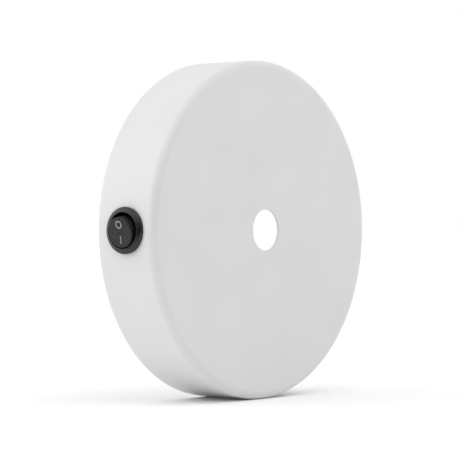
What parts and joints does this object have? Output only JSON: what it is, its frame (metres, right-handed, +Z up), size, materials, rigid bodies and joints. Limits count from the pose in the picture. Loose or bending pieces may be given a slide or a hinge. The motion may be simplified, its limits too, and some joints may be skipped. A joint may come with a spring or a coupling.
{
  "type": "ceiling rose",
  "caption": "Shallow round metal ceiling rose with a centre hole, a small round rocker switch in its side, a bent fixing strap and a screw terminal block inside.",
  "frame": {"origin": "centre of the open back rim, midway between the two wall slots, in the plane of the wall", "axes": "+Y runs back into the wall or ceiling, -Y out of the closed face, +Z is up as pictured, and the switch is on the -X side"},
  "size_m": [0.1242, 0.025, 0.12],
  "materials": {
    "powder_coat": "satin white powder coat on steel",
    "zinc_steel": "bright zinc plate",
    "white_screw": "painted steel",
    "zinc_screw": "zinc plate",
    "brass_parts": "turned brass",
    "block_plastic": "natural nylon",
    "switch_plastic": "semi-gloss black",
    "rocker_plastic": "fine textured black",
    "spring_steel": "bright wire",
    "contact_metal": "tin-plated brass"
  },
  "bodies": {
    "rose": {"rose_cup": "powder_coat", "fixing_strap": "zinc_steel", "lock_screw_top": "white_screw", "lock_screw_bottom": "white_screw", "earth_washer": "brass_parts", "earth_clamp": "brass_parts", "earth_screw": "brass_parts", "terminal_block": "block_plastic", "block_screw": "zinc_screw", "barrel_line": "brass_parts", "barrel_neutral": "brass_parts", "clamp_screw_line_lower": "zinc_screw", "clamp_screw_line_upper": "zinc_screw", "clamp_screw_neutral_lower": "zinc_screw", "clamp_screw_neutral_upper": "zinc_screw", "switch_housing": "switch_plastic", "fixed_contact": "contact_metal", "common_terminal": "contact_metal", "load_terminal": "contact_metal"},
    "rocker": {"switch_rocker": "rocker_plastic", "plunger_spring": "spring_steel"},
    "see_saw": {"contact_bridge": "contact_metal", "moving_contact": "contact_metal"},
    "sprung_plunger": {"plunger": "brass_parts"}
  },
  "joints": [
    {"name": "rocker_hinge", "type": "hinge", "parent": "rose", "child": "rocker", "pos_m": [-0.05975, -0.0124, 0], "axis": [0, 1, 0], "range_deg": [0, 26]},
    {"name": "see_saw_hinge", "type": "hinge", "parent": "rose", "child": "see_saw", "pos_m": [-0.05369, -0.0124, 0], "axis": [0, 1, 0], "range_deg": [-18.2, 0]},
    {"name": "plunger_slide", "type": "slide", "parent": "rocker", "child": "sprung_plunger", "axis": [0.9744, 0, 0.225], "range_m": [-0.0008, 0.0002], "stiffness_N_per_m": 400, "deforming": ["plunger_spring"]}
  ],
  "couplings": [
    {"joint": "see_saw_hinge", "follows": "rocker_hinge", "ratio": -0.7}
  ]
}
